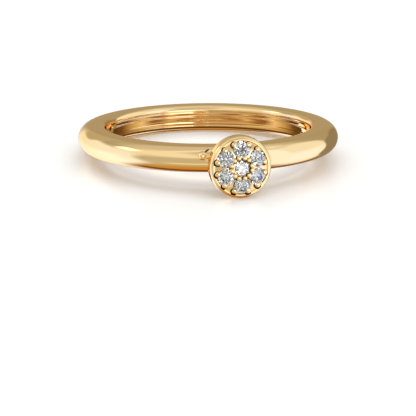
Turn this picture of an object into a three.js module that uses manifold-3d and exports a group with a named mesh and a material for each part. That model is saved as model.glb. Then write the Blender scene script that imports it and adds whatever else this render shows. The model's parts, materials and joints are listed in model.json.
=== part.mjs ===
// A stackable ring: a half-round gold band that carries a round pavé disc, which holds seven brilliants.
// Millimetres, +Z up. The ring lies on its side as it rests by itself, on the far lower edge of the band
// and on the disc, which is taller than the band is wide and so lifts the front a few degrees.
import * as THREE from 'three';
import { mergeVertices } from 'three/addons/utils/BufferGeometryUtils.js';
import Module from 'manifold-3d';

const wasm = await Module();
wasm.setup();

// Band
const boreDiameter = 17.2;
const bandThickness = 2.35;
const bandWidth = 2.2;
const boreEdgeRadius = 0.45;

// Disc that holds the stones
const discDiameter = 5.12;
const discBackDiameter = 5.12;
const discDepth = 1.3;
const discBackLift = 0.06;
const discDrop = 0.34;
const backEdgeRadius = 0.16;
const lipWidth = 0.36;
const lipHeight = 0.14;
const lipOuterRadius = 0.15;
const lipInnerRadius = 0.08;
const plateCrown = 0.4;

// Solder saddle that fills the space between the curve of the band and the flat back of the disc
const saddleDiameter = 0.9;
const saddleHeight = 0.34;
const saddleRise = 0.2;
const saddleLeftOverhang = 0.66;
const saddleRightOverhang = -0.3;

// Stones
const centreStoneDiameter = 1.16;
const outerStoneDiameter = 1.38;
const outerStoneCount = 6;
const outerPitchRadius = 1.52;
const stoneSink = 0.02;
const stoneClearance = 0.05;
const tableShare = 0.56;
const crownShare = 0.15;
const girdleShare = 0.03;
const pavilionShare = 0.42;

// Grains: the small gold beads that hold the stones, in pairs between the outer stones
const rimGrainDiameter = 0.46;
const rimGrainGap = -0.04;
const rimGrainSpread = 13;
const innerGrainDiameter = 0.34;
const innerGrainRadius = 0.86;
const innerGrainSpread = 14;
const grainLift = 0.04;

// Fineness of the round forms
const bandSegments = 80;
const discSegments = 48;
const roundSteps = 10;
const crownSteps = 5;
const edgeSteps = 3;
const rodSides = 14;
const rodSteps = 8;
const weldDistance = 1e-5;

// Sizes that follow from the ones above
const boreRadius = boreDiameter / 2;
const bandRadius = boreRadius + bandThickness;
const halfWidth = bandWidth / 2;
const roundCentre = bandRadius - halfWidth;
const discRadius = discDiameter / 2;
const backPlane = bandRadius + discBackLift;
const facePlane = backPlane + discDepth;
const plateRadius = discRadius - lipWidth;
const plateEdge = discDepth - lipHeight;
const plateTop = plateEdge + plateCrown;
const plateBallRadius = (plateRadius ** 2 + plateCrown ** 2) / (2 * plateCrown);

const gold = new THREE.MeshStandardMaterial({ color: 0xe3b669, metalness: 1, roughness: 0.12 });
const diamond = new THREE.MeshStandardMaterial({ color: 0xe9ecf2, metalness: 0, roughness: 0.03 });

// Points of an arc in a profile, from one angle to another in degrees
function arc(x, y, radius, from, to, steps) {
  return Array.from({ length: steps + 1 }, (_, i) => {
    const angle = THREE.MathUtils.degToRad(from + ((to - from) * i) / steps);
    return new THREE.Vector2(x + radius * Math.cos(angle), y + radius * Math.sin(angle));
  });
}

// A body turned about +Z from a profile of radius and height that runs anticlockwise
function turned(profile, segments) {
  return new THREE.LatheGeometry(profile, segments).rotateX(Math.PI / 2);
}

function solid(geometry) {
  const bare = geometry.clone();
  for (const name of Object.keys(bare.attributes)) {
    if (name !== 'position') bare.deleteAttribute(name);
  }
  const merged = mergeVertices(bare, weldDistance);
  const vertProperties = new Float32Array(merged.attributes.position.array);
  const triVerts = new Uint32Array(merged.index.array);
  return new wasm.Manifold(new wasm.Mesh({ numProp: 3, vertProperties, triVerts }));
}

function geometryOf(body) {
  const { vertProperties, triVerts } = body.getMesh();
  const geometry = new THREE.BufferGeometry();
  geometry.setAttribute('position', new THREE.BufferAttribute(vertProperties, 3));
  geometry.setIndex(new THREE.BufferAttribute(triVerts, 1));
  return geometry;
}

// The band: flat sides where rings stack, a half-round outside and a flat bore with eased edges
function bandGeometry() {
  const edge = halfWidth - boreEdgeRadius;
  const profile = [
    ...arc(roundCentre, 0, halfWidth, -90, 90, roundSteps),
    ...arc(boreRadius + boreEdgeRadius, edge, boreEdgeRadius, 90, 180, edgeSteps),
    ...arc(boreRadius + boreEdgeRadius, -edge, boreEdgeRadius, 180, 270, edgeSteps),
  ];
  profile.push(profile[0].clone());
  return turned(profile, bandSegments);
}

// The disc, standing on z = 0 with its face up: a plain back, a wall that may taper, a polished lip and,
// inside the lip, a slightly crowned plate for the stones
function discGeometry() {
  const backRadius = discBackDiameter / 2;
  const lipInside = plateRadius + lipInnerRadius;
  const crownAngle = THREE.MathUtils.radToDeg(Math.asin(plateRadius / plateBallRadius));
  const plate = arc(0, plateTop - plateBallRadius, plateBallRadius, 90 - crownAngle, 90, crownSteps);
  plate[plate.length - 1].x = 0;
  const profile = [
    new THREE.Vector2(0, 0),
    ...arc(backRadius - backEdgeRadius, backEdgeRadius, backEdgeRadius, -90, 0, edgeSteps),
    ...arc(discRadius - lipOuterRadius, discDepth - lipOuterRadius, lipOuterRadius, 0, 90, edgeSteps),
    ...arc(lipInside, discDepth - lipInnerRadius, lipInnerRadius, 90, 180, edgeSteps),
    ...plate,
  ];
  return turned(profile, discSegments);
}

// The saddle: a round-ended rod bent along the crown of the band. One end shows beside the disc.
function saddleGeometry() {
  const rodRadius = saddleDiameter / 2;
  const pathRadius = bandRadius + saddleHeight - rodRadius;
  const left = -Math.asin((discRadius + saddleLeftOverhang) / bandRadius) * pathRadius;
  const right = Math.asin((discRadius + saddleRightOverhang) / bandRadius) * pathRadius;
  const rodLength = right - left - saddleDiameter;
  const rod = new THREE.CapsuleGeometry(rodRadius, rodLength, edgeSteps, rodSides, rodSteps)
    .rotateZ(Math.PI / 2)
    .translate((left + right) / 2, 0, 0);
  const { position } = rod.attributes;
  for (let i = 0; i < position.count; i += 1) {
    const angle = position.getX(i) / pathRadius;
    const radius = pathRadius - position.getY(i);
    position.setXYZ(i, radius * Math.sin(angle), -radius * Math.cos(angle), position.getZ(i));
  }
  return rod.translate(0, 0, saddleRise);
}

// A round brilliant with its girdle on z = 0: table, 8 stars, 8 kites, 16 upper girdle facets, the girdle,
// 16 lower girdle facets and 8 mains
function brilliantGeometry(diameter) {
  const girdleRadius = diameter / 2;
  const tableRadius = girdleRadius * tableShare;
  const crown = diameter * crownShare;
  const girdle = (diameter * girdleShare) / 2;
  const pavilion = diameter * pavilionShare;
  const fold = 8;
  const half = Math.PI / fold;
  const starRadius = (tableRadius * Math.cos(half) + girdleRadius) / 2;
  const starFall = (girdleRadius - starRadius * Math.cos(half)) / (girdleRadius - tableRadius);
  const lowerShare = 0.22;
  const ring = (radius, height, count, start) => Array.from({ length: count }, (_, i) => {
    const angle = start + (i * 2 * Math.PI) / count;
    return new THREE.Vector3(radius * Math.cos(angle), radius * Math.sin(angle), height);
  });
  const table = ring(tableRadius, girdle + crown, fold, 0);
  const star = ring(starRadius, girdle + crown * starFall, fold, half);
  const upper = ring(girdleRadius, girdle, 2 * fold, 0);
  const lower = ring(girdleRadius, -girdle, 2 * fold, 0);
  const tipDepth = pavilion * (1 - lowerShare * Math.cos(half));
  const tip = ring(girdleRadius * lowerShare, -girdle - tipDepth, fold, half);
  const culet = new THREE.Vector3(0, 0, -girdle - pavilion);
  const faces = [];
  for (let i = 0; i < fold; i += 1) {
    const next = (i + 1) % fold;
    const [g0, g1, g2] = [2 * i, 2 * i + 1, (2 * i + 2) % (2 * fold)];
    if (i > 0 && i < fold - 1) faces.push([table[0], table[i], table[i + 1]]);
    faces.push(
      [table[i], star[i], table[next]],
      [table[i], upper[g0], star[i]],
      [table[next], star[i], upper[g2]],
      [star[i], upper[g0], upper[g1]],
      [star[i], upper[g1], upper[g2]],
      [tip[i], lower[g1], lower[g0]],
      [tip[i], lower[g2], lower[g1]],
      [culet, tip[i], lower[g0]],
      [culet, lower[g2], tip[i]],
    );
    for (const [a, b] of [[g0, g1], [g1, g2]]) {
      faces.push([upper[a], lower[a], lower[b]], [upper[a], lower[b], upper[b]]);
    }
  }
  return new THREE.BufferGeometry().setFromPoints(faces.flat());
}

// A place on the crowned plate, square to its surface, at a distance from the disc's axis
function onPlate(radius, degrees, lift) {
  const spin = new THREE.Matrix4().makeRotationZ(THREE.MathUtils.degToRad(degrees));
  const lean = new THREE.Matrix4().makeRotationY(Math.asin(radius / plateBallRadius));
  const rise = new THREE.Matrix4().makeTranslation(0, 0, plateBallRadius + lift);
  const base = new THREE.Matrix4().makeTranslation(0, 0, plateTop - plateBallRadius);
  return base.multiply(spin).multiply(lean).multiply(rise);
}

const gapStep = 360 / outerStoneCount;
const stones = [{ name: 'centre_stone', diameter: centreStoneDiameter, place: onPlate(0, 0, -stoneSink) }];
for (let i = 0; i < outerStoneCount; i += 1) {
  const place = onPlate(outerPitchRadius, 90 - i * gapStep, -stoneSink);
  stones.push({ name: `outer_stone_${i + 1}`, diameter: outerStoneDiameter, place });
}

function grains() {
  const placed = [];
  const rimGrainRadius = plateRadius - rimGrainGap - rimGrainDiameter / 2;
  for (let i = 0; i < outerStoneCount; i += 1) {
    const middle = 90 - (i + 0.5) * gapStep;
    for (const side of [-1, 1]) {
      const rimAngle = middle + side * rimGrainSpread;
      const innerAngle = middle + side * innerGrainSpread;
      placed.push(
        { diameter: rimGrainDiameter, place: onPlate(rimGrainRadius, rimAngle, grainLift) },
        { diameter: innerGrainDiameter, place: onPlate(innerGrainRadius, innerAngle, grainLift) },
      );
    }
  }
  return placed.map(({ diameter, place }) =>
    solid(new THREE.IcosahedronGeometry(diameter / 2, 1).applyMatrix4(place)));
}

// From the disc's own frame, face up, to the front of the band, face towards -Y
const discPlace = new THREE.Matrix4()
  .makeTranslation(0, -backPlane, -discDrop)
  .multiply(new THREE.Matrix4().makeRotationX(Math.PI / 2));

function metalGeometry() {
  let disc = solid(discGeometry());
  for (const grain of grains()) disc = disc.add(grain);
  for (const { diameter, place } of stones) {
    disc = disc.subtract(solid(brilliantGeometry(diameter + 2 * stoneClearance).applyMatrix4(place)));
  }
  const placed = solid(geometryOf(disc).applyMatrix4(discPlace));
  return geometryOf(solid(bandGeometry()).add(solid(saddleGeometry())).add(placed));
}

const metal = new THREE.Mesh(metalGeometry(), gold);
metal.name = 'band_and_setting';

const settingFrame = new THREE.Group();
settingFrame.applyMatrix4(discPlace);
for (const { name, diameter, place } of stones) {
  const stone = new THREE.Mesh(brilliantGeometry(diameter), diamond);
  stone.name = name;
  stone.applyMatrix4(place);
  settingFrame.add(stone);
}

// The tilt at which the ring rests: the far side of the band's half-round outside and the lower edge of
// the disc, at its lip or its back, are level. Each edge is a round of its own radius about its own centre.
function restTilt() {
  const edges = [
    { y: -(facePlane - lipOuterRadius), z: -(discDrop + discRadius - lipOuterRadius), r: lipOuterRadius },
    {
      y: -(backPlane + backEdgeRadius),
      z: -(discDrop + discBackDiameter / 2 - backEdgeRadius),
      r: backEdgeRadius,
    },
  ];
  const tilts = edges.map(({ y, z, r }) => {
    const run = roundCentre - y;
    const span = Math.hypot(run, z);
    return Math.asin((r - halfWidth) / span) + Math.atan2(-z, run);
  });
  return Math.max(...tilts);
}

const tilted = new THREE.Group();
tilted.rotation.x = -restTilt();
tilted.add(metal, settingFrame);

const ring = new THREE.Group();
ring.add(tilted);
ring.updateMatrixWorld(true);
const box = new THREE.Box3().setFromObject(tilted, true);
tilted.position.set(-(box.min.x + box.max.x) / 2, -(box.min.y + box.max.y) / 2, -box.min.z);
ring.updateMatrixWorld(true);

export default ring;
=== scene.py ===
import json
from math import acos, asin, atan, atan2, cos, degrees, hypot, pi, radians, sin, tan
from random import Random

import bmesh
import bpy
from mathutils import Matrix, Vector


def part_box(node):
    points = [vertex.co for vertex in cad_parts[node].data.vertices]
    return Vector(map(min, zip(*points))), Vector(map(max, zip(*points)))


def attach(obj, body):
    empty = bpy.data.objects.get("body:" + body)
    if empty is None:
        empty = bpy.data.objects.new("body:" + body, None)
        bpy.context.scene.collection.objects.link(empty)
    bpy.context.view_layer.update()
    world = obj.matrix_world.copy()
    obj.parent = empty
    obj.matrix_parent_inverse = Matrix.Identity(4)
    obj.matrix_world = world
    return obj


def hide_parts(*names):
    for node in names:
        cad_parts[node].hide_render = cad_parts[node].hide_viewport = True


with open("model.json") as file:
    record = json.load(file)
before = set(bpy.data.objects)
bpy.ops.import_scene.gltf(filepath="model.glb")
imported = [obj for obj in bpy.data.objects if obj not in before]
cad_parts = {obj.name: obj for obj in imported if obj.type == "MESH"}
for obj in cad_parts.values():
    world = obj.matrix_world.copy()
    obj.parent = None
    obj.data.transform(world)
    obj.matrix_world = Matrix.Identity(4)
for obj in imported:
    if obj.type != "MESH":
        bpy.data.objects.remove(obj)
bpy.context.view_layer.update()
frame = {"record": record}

# The band: one ring of 18 carat yellow gold, turned and polished. Its outside is a full half round, its
# sides are flat for stacking, and its bore has eased edges and faint turning marks. Each piece is made in
# millimetres about the ring's centre, finger hole along +Z, and is then laid down as it rests.
MM = 0.001
bore_radius = 8.6
band_thickness = 2.35
half_width = 1.1
bore_edge_radius = 0.45
band_radius = bore_radius + band_thickness
round_centre = band_radius - half_width
band_segments = 384
outside_steps, edge_steps, side_steps, bore_steps = 40, 12, 5, 56

upper_side = next(m for m in frame["record"]["mounts"] if m["name"] == "upper_side")
tilt = atan2(upper_side["axis"][1], upper_side["axis"][2])
metal_low, metal_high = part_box("band_and_setting")
ring_centre = Vector((
    (metal_low.x + metal_high.x) / 2,
    metal_high.y - (round_centre * cos(tilt) + half_width) * MM,
    (round_centre * sin(tilt) + half_width) * MM,
))
rest = Matrix.Translation(ring_centre) @ Matrix.Rotation(-tilt, 4, "X")
lay_down = rest @ Matrix.Scale(MM, 4)


def arc(x, z, radius, start, end, steps):
    """Points on an arc of a profile, from one angle to another in degrees."""
    angles = [radians(start + (end - start) * i / steps) for i in range(steps + 1)]
    return [(x + radius * cos(a), z + radius * sin(a)) for a in angles]


def line(start, end, steps):
    """Points on a straight stretch of a profile, without its two ends."""
    shares = [i / steps for i in range(1, steps)]
    return [(start[0] + (end[0] - start[0]) * s, start[1] + (end[1] - start[1]) * s) for s in shares]


def turned(profile, segments):
    """A closed body turned about Z, from a profile that ends on the axis or closes on itself."""
    form = bmesh.new()
    rings = []
    for radius, height in profile:
        count = 1 if radius == 0 else segments
        turns = [2 * pi * i / segments for i in range(count)]
        rings.append([form.verts.new((radius * cos(a), radius * sin(a), height)) for a in turns])
    pairs = list(zip(rings, rings[1:]))
    if profile[0][0] > 0:
        pairs.append((rings[-1], rings[0]))
    for low, high in pairs:
        for i in range(segments):
            j = (i + 1) % segments
            corners = [low[i % len(low)], low[j % len(low)], high[j % len(high)], high[i % len(high)]]
            form.faces.new(list(dict.fromkeys(corners)))
    return form


def piece_from(name, form):
    """An object with that name, made of a bmesh."""
    bmesh.ops.recalc_face_normals(form, faces=form.faces)
    mesh = bpy.data.meshes.new(name)
    form.to_mesh(mesh)
    form.free()
    piece = bpy.data.objects.new(name, mesh)
    bpy.context.scene.collection.objects.link(piece)
    return piece


def polish(piece, sharp_above):
    """Smooth shading, with the edges that turn by more than that many degrees left crisp."""
    piece.data.shade_smooth()
    piece.data.set_sharp_from_angle(angle=radians(sharp_above))


# Each set of turning marks is given by its spacing, its depth and where in its wave it starts.
turning_marks = (
    (0.17, 0.0008, 0.4),
    (0.29, 0.0017, 2.1),
    (0.47, 0.0022, 4.0),
)
flat_start = bore_radius + bore_edge_radius
wall_end = half_width - bore_edge_radius
band_profile = arc(round_centre, 0, half_width, -90, 90, outside_steps)
band_profile += line((round_centre, half_width), (flat_start, half_width), side_steps)
band_profile += arc(flat_start, wall_end, bore_edge_radius, 90, 180, edge_steps)
for radius, height in line((bore_radius, wall_end), (bore_radius, -wall_end), bore_steps):
    marks = sum(depth * sin(2 * pi * height / spacing + start) for spacing, depth, start in turning_marks)
    band_profile.append((radius + marks, height))
band_profile += arc(flat_start, -wall_end, bore_edge_radius, 180, 270, edge_steps)
band_profile += line((flat_start, -half_width), (round_centre, -half_width), side_steps)
band = piece_from("band", turned(band_profile, band_segments))
polish(band, sharp_above=40)
band.data.transform(lay_down)

# Polished yellow gold: bright, with the faint waviness that hand polishing leaves and finer wheel marks. The
# scales are lumps per metre and the depths are metres.
gold_colour = (0.94, 0.68, 0.34, 1)
gold_edge_tint = (1, 0.82, 0.56, 1)
gold_roughness = (0.025, 0.06)
uneven_low, uneven_high = 0.35, 0.65
wave_scale, wave_depth = 420, 2.2e-6
mark_scale, mark_depth = 9000, 1.2e-7
gold = bpy.data.materials.new("polished_gold")
gold.use_nodes = True
metal = gold.node_tree.nodes["Principled BSDF"]
metal.inputs["Base Color"].default_value = gold_colour
metal.inputs["Specular Tint"].default_value = gold_edge_tint
metal.inputs["Metallic"].default_value = 1


def unevenness(tree, scale, detail):
    """Lumps that stay where they are on the piece, mostly from uneven_low to uneven_high."""
    place = tree.nodes.new("ShaderNodeTexCoord")
    made = tree.nodes.new("ShaderNodeTexNoise")
    made.inputs["Scale"].default_value = scale
    made.inputs["Detail"].default_value = detail
    tree.links.new(place.outputs["Object"], made.inputs["Vector"])
    return made.outputs["Fac"]


def spread_out(tree, value, low, high):
    """Unevenness spread from low to high."""
    made = tree.nodes.new("ShaderNodeMapRange")
    made.inputs["From Min"].default_value = uneven_low
    made.inputs["From Max"].default_value = uneven_high
    made.inputs["To Min"].default_value = low
    made.inputs["To Max"].default_value = high
    tree.links.new(value, made.inputs["Value"])
    return made.outputs["Result"]


def dents(tree, height, depth, below=None):
    """Dents of that depth, on top of other ones."""
    made = tree.nodes.new("ShaderNodeBump")
    made.inputs["Distance"].default_value = depth
    tree.links.new(height, made.inputs["Height"])
    if below is not None:
        tree.links.new(below, made.inputs["Normal"])
    return made.outputs["Normal"]


tree = gold.node_tree
roughness = spread_out(tree, unevenness(tree, wave_scale, detail=3), *gold_roughness)
tree.links.new(roughness, metal.inputs["Roughness"])
waves = dents(tree, unevenness(tree, wave_scale, detail=1), wave_depth)
wheel_marks = dents(tree, unevenness(tree, mark_scale, detail=4), mark_depth, waves)
tree.links.new(wheel_marks, metal.inputs["Normal"])

band.data.materials.append(gold)
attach(band, "root")
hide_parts("band_and_setting")

# The disc: a thick round plate of the same gold, soldered to the front of the band a little below its
# middle. A round polished lip, with a bevel outside it, runs round a crowned plate. It is turned face up and
# stands on z = 0.
disc_radius = 2.56
disc_depth = 1.3
disc_back_lift = 0.06
disc_drop = 0.34
back_edge_radius = 0.16
lip_width = 0.36
lip_height = 0.14
lip_radius = 0.09
lip_setback = 0.005
bevel_radius = 0.375
bevel_start, bevel_end = 15, 60
bevel_gap = 0.03
plate_crown = 0.4
disc_segments = 192
back_steps, back_edge_steps, wall_steps = 6, 8, 5
bevel_steps, lip_steps, plate_steps = 12, 20, 20
plate_radius = disc_radius - lip_width
plate_edge = disc_depth - lip_height
plate_top = plate_edge + plate_crown
plate_ball = (plate_radius**2 + plate_crown**2) / (2 * plate_crown)
plate_slope = degrees(asin(plate_radius / plate_ball))

back_corner = disc_radius - back_edge_radius
lip_x = plate_radius + lip_radius + lip_setback
lip_z = disc_depth - lip_radius
bevel_x = lip_x + lip_radius - bevel_radius * cos(radians(bevel_end))
bevel_z = lip_z - bevel_radius * sin(radians(bevel_end))
bevel_low = bevel_z + bevel_radius * sin(radians(bevel_start))
disc_profile = [(0, 0)] + line((0, 0), (back_corner, 0), back_steps)
disc_profile += arc(back_corner, back_edge_radius, back_edge_radius, -90, 0, back_edge_steps)
disc_profile += line((disc_radius, back_edge_radius), (disc_radius, bevel_low - bevel_gap), wall_steps)
disc_profile += arc(bevel_x, bevel_z, bevel_radius, bevel_start, bevel_end, bevel_steps)
disc_profile += arc(lip_x, lip_z, lip_radius, 0, 180, lip_steps)[1:]
disc_profile += [(plate_radius, plate_edge)]
disc_profile += arc(0, plate_top - plate_ball, plate_ball, 90 - plate_slope, 90, plate_steps)[:-1]
disc_profile += [(0, plate_top)]
setting = piece_from("setting", turned(disc_profile, disc_segments))

# The places of the stones: one in the middle of the plate and six round it, from the top clockwise. Each
# stands square to the plate's crown, with its girdle a little below the plate.
centre_stone_diameter = 1.16
outer_stone_diameter = 1.38
outer_stone_count = 6
outer_pitch_radius = 1.52
stone_sink = 0.02


def on_plate(radius, angle, lift):
    """A place on the crowned plate, square to its surface, at a distance from the disc's axis."""
    spin = Matrix.Rotation(radians(angle), 4, "Z")
    lean = Matrix.Rotation(asin(radius / plate_ball), 4, "Y")
    rise = Matrix.Translation((0, 0, plate_ball + lift))
    return Matrix.Translation((0, 0, plate_top - plate_ball)) @ spin @ lean @ rise


gap_step = 360 / outer_stone_count
stones = [("brilliant_centre", "centre_stone", centre_stone_diameter, on_plate(0, 0, -stone_sink))]
for i in range(outer_stone_count):
    place = on_plate(outer_pitch_radius, 90 - i * gap_step, -stone_sink)
    stones.append((f"brilliant_{i + 1}", f"outer_stone_{i + 1}", outer_stone_diameter, place))

# Seats: a burr sinks a cone for each stone, a little wider than the stone, and the grains are cut back to
# the slope of its crown. Their cut faces carry painted shade, a dark gold for the shade in these crevices.
seat_clearance = 0.05
seat_depth_share = 0.47
seat_wall = 0.05
crown_height_share = 0.18
crown_top_share = 0.3
crown_clearance = 0.015
seat_sides = 96
# Painted shade: a dark gold for the seats, the hollows beside the grains and the patch above the saddle.
painted_shade_colour = (0.20, 0.10, 0.035, 1)
painted_shade_roughness = (0.3, 0.6)
painted_shade = bpy.data.materials.new("painted_shade_gold")
painted_shade.use_nodes = True
shade_bsdf = painted_shade.node_tree.nodes["Principled BSDF"]
shade_bsdf.inputs["Base Color"].default_value = painted_shade_colour
shade_bsdf.inputs["Metallic"].default_value = 1
tree = painted_shade.node_tree
shade_roughness_map = spread_out(tree, unevenness(tree, mark_scale, detail=4), *painted_shade_roughness)
tree.links.new(shade_roughness_map, shade_bsdf.inputs["Roughness"])
seats = []
for name, node, diameter, place in stones:
    radius = diameter / 2 + seat_clearance
    crown_top = diameter * crown_height_share + crown_clearance
    crown_width = diameter * crown_top_share + crown_clearance
    seat_profile = [
        (0, -diameter * seat_depth_share - seat_clearance),
        (radius, 0),
        (radius, seat_wall),
        (crown_width, crown_top),
        (0, crown_top),
    ]
    seat = piece_from("seat", turned(seat_profile, seat_sides))
    seat.data.transform(place)
    # The seat's cut faces take the painted shade.
    seat.data.materials.append(painted_shade)
    seats.append(seat)

# Grains: beads of the plate's own gold, raised with a graver and pushed over the stones' edges. They stand
# in pairs between the outer stones, at the lip and round the middle stone, each beside its own small hollow
# that is lined with painted shade, on the lower left side where the bead's shade falls.
rim_grain_diameter = 0.48
rim_grain_gap = -0.04
rim_grain_spread = 13
inner_grain_diameter = 0.40
inner_grain_radius = 0.87
inner_grain_spread = 13
grain_lift = 0.08
grain_flatness = 0.58
grain_change = 0.09
grain_turn = 1.5
hollow_margin = 0.07
hollow_floor_share = 0.8
hollow_sides = 40
hollow_depth = 0.12
hollow_height = 0.22
hollow_shift = 0.06
# The hollows sit on the beads' lower left side, where their shade falls.
hollow_angle = 222
rim_grain_radius = plate_radius - rim_grain_gap - rim_grain_diameter / 2
grain_kinds = (
    (rim_grain_diameter, rim_grain_radius, rim_grain_spread),
    (inner_grain_diameter, inner_grain_radius, inner_grain_spread),
)
by_hand = Random(4)
grains = []
hollows = []


def pressed_bead(diameter, place):
    """A grain pressed a little flat, at that place."""
    form = bmesh.new()
    bmesh.ops.create_uvsphere(form, u_segments=28, v_segments=18, radius=diameter / 2)
    made = piece_from("grain", form)
    made.data.transform(place @ Matrix.Diagonal((1, 1, grain_flatness, 1)))
    return made


for i in range(outer_stone_count):
    middle = 90 - (i + 0.5) * gap_step
    for side in (-1, 1):
        for diameter, radius, spread in grain_kinds:
            angle = middle + side * (spread + by_hand.uniform(-grain_turn, grain_turn))
            size = diameter * (1 + by_hand.uniform(-grain_change, grain_change))
            grains.append(pressed_bead(size, on_plate(radius, angle, grain_lift)))
            grains[-1].data.materials.append(gold)
            x = radius * cos(radians(angle)) + hollow_shift * cos(radians(hollow_angle))
            y = radius * sin(radians(angle)) + hollow_shift * sin(radians(hollow_angle))
            width = size / 2 + hollow_margin
            cup = [
                (0, -hollow_depth),
                (width * hollow_floor_share, -hollow_depth),
                (width, 0),
                (width, hollow_height),
                (0, hollow_height),
            ]
            hollows.append(piece_from("hollow", turned(cup, hollow_sides)))
            hollows[-1].data.transform(on_plate(hypot(x, y), degrees(atan2(y, x)), 0))
            # The hollow's faces take the painted shade.
            hollows[-1].data.materials.append(painted_shade)


def fuse(body, changes):
    """Joins pieces on or cuts them out, one after another. Each leaves its finish where it was."""
    for other, operation in changes:
        change = body.modifiers.new("fuse", "BOOLEAN")
        change.operation = operation
        change.object = other
        change.solver = "MANIFOLD"
        change.material_mode = "TRANSFER"
    solid = bpy.data.meshes.new_from_object(body.evaluated_get(bpy.context.evaluated_depsgraph_get()))
    body.modifiers.clear()
    body.data = solid
    for other, operation in changes:
        bpy.data.objects.remove(other)


changes = [(hollow, "DIFFERENCE") for hollow in hollows]
changes += [(grain, "UNION") for grain in grains]
changes += [(seat, "DIFFERENCE") for seat in seats]
setting.data.materials.append(gold)
fuse(setting, changes)

# The saddle: a short rod of gold bent along the crown of the band, run in with solder behind the disc. Its
# end, a round bead, shows beside the disc on the left. Above its neck lies a dark patch of painted shade,
# for the shade between the band and the disc.
bead_radius = 0.38
neck_radius = 0.25
saddle_height = 0.36
saddle_rise = 0.28
bead_rise = 0.17
saddle_left_overhang = 0.66
saddle_right_overhang = -0.3
bead_steps, rod_steps, end_steps = 18, 24, 10
saddle_sides = 48
back_plane = band_radius + disc_back_lift
disc_place = Matrix.Translation((0, -back_plane, -disc_drop)) @ Matrix.Rotation(pi / 2, 4, "X")
path_radius = band_radius + saddle_height - bead_radius
left_end = -asin((disc_radius + saddle_left_overhang) / band_radius) * path_radius
right_end = asin((disc_radius + saddle_right_overhang) / band_radius) * path_radius
bead_middle = left_end + bead_radius
neck_turn = degrees(acos(neck_radius / bead_radius))
neck_start = bead_middle + bead_radius * sin(radians(neck_turn))
rod_end = right_end - neck_radius
saddle_profile = [(0, left_end)] + arc(0, bead_middle, bead_radius, -90, neck_turn, bead_steps)[1:]
saddle_profile += line((neck_radius, neck_start), (neck_radius, rod_end), rod_steps)
saddle_profile += arc(0, rod_end, neck_radius, 0, 90, end_steps)[:-1]
saddle_profile += [(0, right_end)]
saddle = piece_from("saddle", turned(saddle_profile, saddle_sides))
saddle.data.materials.append(gold)
for vertex in saddle.data.vertices:
    up, out, along = vertex.co
    angle = along / path_radius
    radius = path_radius + out
    rise = saddle_rise + bead_rise * max(0, along / bead_middle)
    vertex.co = (radius * sin(angle), -radius * cos(angle), up + rise)

# This thin dark patch is painted shade; it leans along the band's curve, above the neck of the bead.
shade_patch_angle = radians(-13.4)
shade_patch_height = 0.80
shade_patch_lean = radians(-42)
shade_patch_halves = (0.27, 0.07, 0.085)
form = bmesh.new()
bmesh.ops.create_uvsphere(form, u_segments=32, v_segments=20, radius=1)
shade_patch = piece_from("shade_patch", form)
shade_patch_out = round_centre + (half_width**2 - shade_patch_height**2) ** 0.5
shade_patch.data.transform(
    Matrix.Rotation(shade_patch_angle, 4, "Z")
    @ Matrix.Translation((0, -shade_patch_out, shade_patch_height))
    @ Matrix.Rotation(-asin(shade_patch_height / half_width), 4, "X")
    @ Matrix.Rotation(shade_patch_lean, 4, "Y")
    @ Matrix.Diagonal((*shade_patch_halves, 1))
)
# The patch's dark gold is painted shade.
shade_patch.data.materials.append(painted_shade)

setting.data.transform(disc_place)
fuse(setting, [(saddle, "UNION"), (shade_patch, "UNION")])
polish(setting, sharp_above=35)
setting.data.transform(lay_down)
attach(setting, "root")
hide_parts("band_and_setting")

# The brilliants: round diamonds, each with a table, eight stars, eight kites and sixteen upper girdle facets
# above its girdle, and sixteen lower girdle facets and eight mains below. Each facet is a flat plane ground
# off a turned blank, one unit across, and the stone is then held in its seat by the grains.
stone_turns = (9, 20, -13, 31, 4, -22, 12)
table_share = 0.56
main_slope, half_slope = radians(34.5), radians(41)
pavilion_slope, lower_slope = radians(40.75), radians(42.2)
girdle_half = 0.012
fold = 8
step = 2 * pi / fold
blank_radius = 0.5
blank_sides = 96
weld_distance = 1e-7


def grind(form, azimuth, slope, distance):
    """Takes off what lies beyond a plane that leans by slope from level, that far from the middle."""
    normal = Vector((sin(slope) * cos(azimuth), sin(slope) * sin(azimuth), cos(slope)))
    whole = form.verts[:] + form.edges[:] + form.faces[:]
    made = bmesh.ops.bisect_plane(
        form,
        geom=whole,
        plane_co=normal * distance,
        plane_no=normal,
        clear_outer=True,
        dist=weld_distance,
    )
    rim = [g for g in made["geom_cut"] if isinstance(g, bmesh.types.BMEdge)]
    bmesh.ops.contextual_create(form, geom=rim)


def grind_side(form, side, main, half):
    """The mains and the halves beside them, above the girdle (side 1) or below it (side -1)."""
    half_distance = blank_radius * sin(half) + girdle_half * cos(half)
    meet = (half_distance - blank_radius * cos(step / 4) * sin(half)) / cos(half)
    main_distance = blank_radius * sin(main) + meet * cos(main)
    for i in range(fold):
        for azimuth, slope, distance in (
            ((i - 0.25) * step, half, half_distance),
            ((i + 0.25) * step, half, half_distance),
            (i * step, main, main_distance),
        ):
            grind(form, azimuth, slope if side > 0 else pi - slope, distance)
    return half_distance, meet


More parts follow.
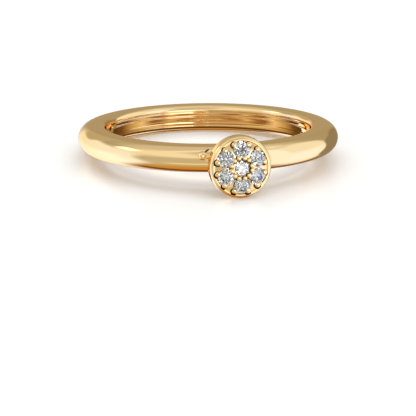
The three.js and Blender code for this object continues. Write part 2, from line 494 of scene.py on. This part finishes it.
table_radius = table_share * blank_radius
blank_profile = [
    (0, -blank_radius),
    (blank_radius, -blank_radius),
    (blank_radius, blank_radius),
    (0, blank_radius),
]
form = turned(blank_profile, blank_sides)
half_distance, meet = grind_side(form, 1, main_slope, half_slope)
table_height = meet + (blank_radius - table_radius) * tan(main_slope)
grind(form, 0, 0, table_height)
star_fall = table_height + table_radius * tan(main_slope) - half_distance / cos(half_slope)
star_radius = star_fall / (cos(step / 2) * tan(main_slope) - cos(step / 4) * tan(half_slope))
star_drop = (star_radius * cos(step / 2) - table_radius) * tan(main_slope)
table_middle = table_radius * cos(step / 2)
star_slope = atan2(star_drop, star_radius - table_middle)
for i in range(fold):
    star_distance = table_middle * sin(star_slope) + table_height * cos(star_slope)
    grind(form, (i + 0.5) * step, star_slope, star_distance)
grind_side(form, -1, pavilion_slope, lower_slope)
bmesh.ops.recalc_face_normals(form, faces=form.faces)
cut_stone = bpy.data.meshes.new("cut_stone")
form.to_mesh(cut_stone)
form.free()

# The middle stone is the whitest. The others' greyer colour is painted shade, for stones that lean away.
refractive_index = 2.42
white_colour = (0.97, 0.98, 0.97, 1)
shaded_stone_colour = (0.66, 0.66, 0.645, 1)


def diamond(name, colour):
    """Clear diamond of that colour."""
    made = bpy.data.materials.new(name)
    made.use_nodes = True
    clear = made.node_tree.nodes["Principled BSDF"]
    clear.inputs["Base Color"].default_value = colour
    clear.inputs["Transmission Weight"].default_value = 1
    clear.inputs["IOR"].default_value = refractive_index
    clear.inputs["Roughness"].default_value = 0
    return made


white_diamond = diamond("white_diamond", white_colour)
painted_shade_diamond = diamond("painted_shade_diamond", shaded_stone_colour)

for (name, node, diameter, place), turn in zip(stones, stone_turns):
    stone = bpy.data.objects.new(name, cut_stone.copy())
    bpy.context.scene.collection.objects.link(stone)
    own_turn = Matrix.Rotation(radians(turn), 4, "Z")
    stone.data.transform(lay_down @ disc_place @ place @ own_turn @ Matrix.Scale(diameter, 4))
    # The outer stones' greyer colour is painted shade.
    stone.data.materials.append(white_diamond if node == "centre_stone" else painted_shade_diamond)
    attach(stone, "root")
    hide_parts(node)

# The camera stands at the photograph's angle to the ring, about 10 degrees above its plane. It is given
# about the ring's own centre, in millimetres, and goes with the ring as that is laid down.
image_side = 416
ring_column, ring_row = 208.4, 136.6
pixels_per_mm = 11.85
view_distance = 340
view_elevation = radians(10.6)
view_azimuth = radians(12.7)
view_roll = radians(0.2)
nearest_seen, farthest_seen = 0.01, 20
sensor_width = 36
focal_pixels = pixels_per_mm * view_distance
aim_down = atan((image_side / 2 - ring_row) / focal_pixels)
aim_left = atan((ring_column - image_side / 2) / focal_pixels)
lens = bpy.data.cameras.new("camera")
lens.sensor_width = sensor_width
lens.lens = sensor_width * focal_pixels / image_side
lens.clip_start, lens.clip_end = nearest_seen, farthest_seen
camera = bpy.data.objects.new("camera", lens)
bpy.context.scene.collection.objects.link(camera)
bpy.context.scene.camera = camera
stand = Vector((0, -view_distance * cos(view_elevation), view_distance * sin(view_elevation))) * MM
camera.matrix_world = (
    rest
    @ Matrix.Rotation(-view_azimuth, 4, "Z")
    @ Matrix.Translation(stand)
    @ Matrix.Rotation(pi / 2 - view_elevation, 4, "X")
    @ Matrix.Rotation(aim_left, 4, "Y")
    @ Matrix.Rotation(-aim_down, 4, "X")
    @ Matrix.Rotation(-view_roll, 4, "Z")
)

# The studio: a tent of light that the polished gold mirrors, golden below, grey at the sides and bright at
# the roof, with cards round the ring. The tent's bands are given by height, from -1 at the bottom to 1.
tent_bands = (
    (-1.0, (0.66, 0.32, 0.07)),
    (-0.93, (0.64, 0.37, 0.10)),
    (-0.80, (0.62, 0.44, 0.20)),
    (-0.66, (0.64, 0.58, 0.44)),
    (-0.40, (0.46, 0.45, 0.42)),
    (0.55, (0.46, 0.45, 0.42)),
    (0.77, (0.62, 0.62, 0.60)),
    (0.85, (1.12, 1.18, 1.28)),
)

# Each card is given by the azimuth of its middle from the camera, its elevation, its half width and half
# height, all in degrees, how soft its edge is, and its light.
cards = (
    ("back_low", 180, -58, 60, 24, 0.3, (0.22, 0.07, 0.01)),
    ("front_top", -24, 38, 60, 27, 0.3, (1.02, 1.02, 1.0)),
    ("front_low", -10, -18, 56, 34, 0.3, (0.62, 0.61, 0.57)),
    ("gold_line", -12, -33, 22, 4.5, 0.4, (1.08, 0.97, 0.62)),
    ("right_dim", 32, 50, 30, 33, 0.3, (0.66, 0.66, 0.65)),
    ("roof_dim", -155, 70, 32, 18, 0.3, (0.70, 0.70, 0.69)),
    ("front_right", 26, 2, 23, 16, 0.25, (2.4, 2.45, 2.6)),
    ("left_card", -116, -12, 48, 37, 0.13, (1.06, 1.16, 1.42)),
    ("left_shade", -152, 22, 15, 13, 0.3, (0.55, 0.54, 0.50)),
    ("left_low", -126, -34, 38, 22, 0.4, (1.3, 1.42, 1.9)),
    ("right_card", 92, -5, 37, 56, 0.1, (1.0, 1.08, 1.18)),
    ("right_low", 90, -26, 36, 28, 0.4, (1.15, 1.3, 1.8)),
    ("right_edge", 67, 0, 11, 56, 0.3, (1.15, 1.26, 1.6)),
    ("right_shade", 147, -10, 20, 24, 0.1, (0.31, 0.31, 0.30)),
    ("left_spot", -93, 36, 11, 7, 0.4, (2.0, 2.0, 2.0)),
)
world = bpy.data.worlds.new("studio")
bpy.context.scene.world = world
world.use_nodes = True
tree = world.node_tree
tent = tree.nodes["Background"]
towards = tree.nodes.new("ShaderNodeTexCoord").outputs["Generated"]


def link(value, socket):
    """Leads a value of the studio's light into a socket."""
    tree.links.new(value, socket)


def calculate(operation, first, second):
    """One sum in the studio's light."""
    made = tree.nodes.new("ShaderNodeMath")
    made.operation = operation
    link(first, made.inputs[0])
    if isinstance(second, (int, float)):
        made.inputs[1].default_value = second
    else:
        link(second, made.inputs[1])
    return made.outputs[0]


def set_stops(ramp, stops):
    """Puts those stops, each a place and a colour, on a colour ramp."""
    while len(ramp.elements) > 1:
        ramp.elements.remove(ramp.elements[-1])
    for i, (place, colour) in enumerate(stops):
        stop = ramp.elements[0] if i == 0 else ramp.elements.new(place)
        stop.position = place
        stop.color = (*colour, 1)


def with_card(light, azimuth, elevation, half_width, half_height, edge, colour):
    """The tent's light with one card in front of it, a rectangle with round corners."""
    face = tree.nodes.new("ShaderNodeVectorRotate")
    face.rotation_type = "EULER_XYZ"
    face.invert = True
    face.inputs["Rotation"].default_value = (radians(-elevation), 0, radians(azimuth) - view_azimuth)
    link(towards, face.inputs["Vector"])
    shares = tree.nodes.new("ShaderNodeVectorMath")
    shares.operation = "MULTIPLY"
    shares.inputs[1].default_value = (1 / sin(radians(half_width)), 0, 1 / sin(radians(half_height)))
    link(face.outputs[0], shares.inputs[0])
    squares = tree.nodes.new("ShaderNodeVectorMath")
    squares.operation = "MULTIPLY"
    link(shares.outputs[0], squares.inputs[0])
    link(shares.outputs[0], squares.inputs[1])
    total = tree.nodes.new("ShaderNodeVectorMath")
    total.operation = "DOT_PRODUCT"
    link(squares.outputs[0], total.inputs[0])
    link(squares.outputs[0], total.inputs[1])
    inside = tree.nodes.new("ShaderNodeMapRange")
    inside.interpolation_type = "SMOOTHSTEP"
    inside.inputs["From Min"].default_value = 1 + edge
    inside.inputs["From Max"].default_value = 1 - edge
    link(calculate("POWER", total.outputs["Value"], 0.25), inside.inputs["Value"])
    parts = tree.nodes.new("ShaderNodeSeparateXYZ")
    link(face.outputs[0], parts.inputs[0])
    ahead = calculate("LESS_THAN", parts.outputs["Y"], 0)
    mixed = tree.nodes.new("ShaderNodeMix")
    mixed.data_type = "RGBA"
    link(calculate("MULTIPLY", inside.outputs["Result"], ahead), mixed.inputs["Factor"])
    link(light, mixed.inputs["A"])
    mixed.inputs["B"].default_value = (*colour, 1)
    return mixed.outputs["Result"]


heights = tree.nodes.new("ShaderNodeSeparateXYZ")
link(towards, heights.inputs[0])
climb = tree.nodes.new("ShaderNodeMapRange")
climb.inputs["From Min"].default_value = -1
link(heights.outputs["Z"], climb.inputs["Value"])
ramp = tree.nodes.new("ShaderNodeValToRGB")
link(climb.outputs["Result"], ramp.inputs["Fac"])
set_stops(ramp.color_ramp, [((height + 1) / 2, colour) for height, colour in tent_bands])
light = ramp.outputs["Color"]
for name, *card in cards:
    light = with_card(light, *card)

# The stones gather light from all round, so what passes through them meets a crowd of small lights and
# gaps. Each level of light comes with the share of the crowd at which it starts. The floor and the backdrop
# get plain white light.
spark_scale = 2.3
spark_lights = (
    (0.00, 0.01),
    (0.32, 0.08),
    (0.50, 0.40),
    (0.67, 1.10),
    (0.82, 4.00),
)
spark_tint = (1.0, 0.99, 0.96)
crowd = tree.nodes.new("ShaderNodeTexVoronoi")
crowd.inputs["Scale"].default_value = spark_scale
link(towards, crowd.inputs["Vector"])
cell = tree.nodes.new("ShaderNodeSeparateXYZ")
link(crowd.outputs["Color"], cell.inputs[0])
sparks = tree.nodes.new("ShaderNodeValToRGB")
sparks.color_ramp.interpolation = "CONSTANT"
link(cell.outputs["X"], sparks.inputs["Fac"])
spark_stops = [(share, [level * part for part in spark_tint]) for share, level in spark_lights]
set_stops(sparks.color_ramp, spark_stops)
white_light = (1, 1, 1, 1)
seen_by = tree.nodes.new("ShaderNodeLightPath")
for ray in ("Is Diffuse Ray", "Is Camera Ray", "Is Transmission Ray"):
    chosen = tree.nodes.new("ShaderNodeMix")
    chosen.data_type = "RGBA"
    link(seen_by.outputs[ray], chosen.inputs["Factor"])
    link(light, chosen.inputs["A"])
    if ray == "Is Transmission Ray":
        link(sparks.outputs["Color"], chosen.inputs["B"])
    else:
        chosen.inputs["B"].default_value = white_light
    light = chosen.outputs["Result"]
link(light, tent.inputs["Color"])
bpy.context.scene.view_settings.view_transform = "Standard"

# The roof light is very wide, and gives the ring its soft shadow on the floor. The gold doesn't mirror it.
roof_power = 1.0
roof_spread = radians(80)
sun = bpy.data.lights.new("roof_light", "SUN")
sun.energy = roof_power
sun.angle = roof_spread
roof_light = bpy.data.objects.new("roof_light", sun)
bpy.context.scene.collection.objects.link(roof_light)
roof_light.visible_glossy = False
roof_light.visible_transmission = False

# The glow card: a round card of warm stripes that lies inside the finger hole. Only what shines sees it, and
# the polished bore shows it as the bands of light and dark that run round it.
glow_radius = 8.4
glow_height = 0.02
glow_sides = 64
glow_rings = (
    (0.00, (0.62, 0.42, 0.18)),
    (0.10, (0.90, 0.72, 0.44)),
    (0.20, (0.42, 0.22, 0.07)),
    (0.30, (0.32, 0.15, 0.04)),
    (0.38, (0.85, 0.64, 0.34)),
    (0.48, (0.40, 0.20, 0.06)),
    (0.56, (0.28, 0.13, 0.04)),
    (0.66, (0.95, 0.74, 0.42)),
    (0.76, (0.62, 0.42, 0.18)),
    (0.86, (0.18, 0.09, 0.03)),
    (1.00, (0.09, 0.05, 0.02)),
)
form = bmesh.new()
bmesh.ops.create_circle(form, cap_ends=True, segments=glow_sides, radius=glow_radius * MM)
glow_card = piece_from("glow_card", form)
glow_card.data.transform(Matrix.Translation((ring_centre.x, ring_centre.y, glow_height * MM)))
for kind in ("camera", "diffuse", "transmission", "shadow"):
    setattr(glow_card, f"visible_{kind}", False)
glow = bpy.data.materials.new("glow_stripes")
glow.use_nodes = True
tree = glow.node_tree
tree.nodes.remove(tree.nodes["Principled BSDF"])
stripes = tree.nodes.new("ShaderNodeEmission")
tree.links.new(stripes.outputs["Emission"], tree.nodes["Material Output"].inputs["Surface"])
place = tree.nodes.new("ShaderNodeTexCoord")
outward = tree.nodes.new("ShaderNodeVectorMath")
outward.operation = "DISTANCE"
outward.inputs[1].default_value = (ring_centre.x, ring_centre.y, glow_height * MM)
tree.links.new(place.outputs["Object"], outward.inputs[0])
share = tree.nodes.new("ShaderNodeMath")
share.operation = "DIVIDE"
share.inputs[1].default_value = glow_radius * MM
tree.links.new(outward.outputs["Value"], share.inputs[0])
colours = tree.nodes.new("ShaderNodeValToRGB")
tree.links.new(share.outputs["Value"], colours.inputs["Fac"])
set_stops(colours.color_ramp, glow_rings)
tree.links.new(colours.outputs["Color"], stripes.inputs["Color"])
glow_card.data.materials.append(glow)

# The floor: a plain pale sheet with a slight gloss. The gold doesn't mirror it, and mirrors the studio's
# light from below in its place.
floor_half_side = 3
floor_colour = (0.92, 0.92, 0.92, 1)
floor_roughness = 0.25
form = bmesh.new()
bmesh.ops.create_grid(form, x_segments=1, y_segments=1, size=floor_half_side)
floor = piece_from("floor", form)
floor.visible_glossy = False
floor.visible_shadow = False
pale = bpy.data.materials.new("pale_floor")
pale.use_nodes = True
sheet = pale.node_tree.nodes["Principled BSDF"]
sheet.inputs["Base Color"].default_value = floor_colour
sheet.inputs["Roughness"].default_value = floor_roughness
floor.data.materials.append(pale)
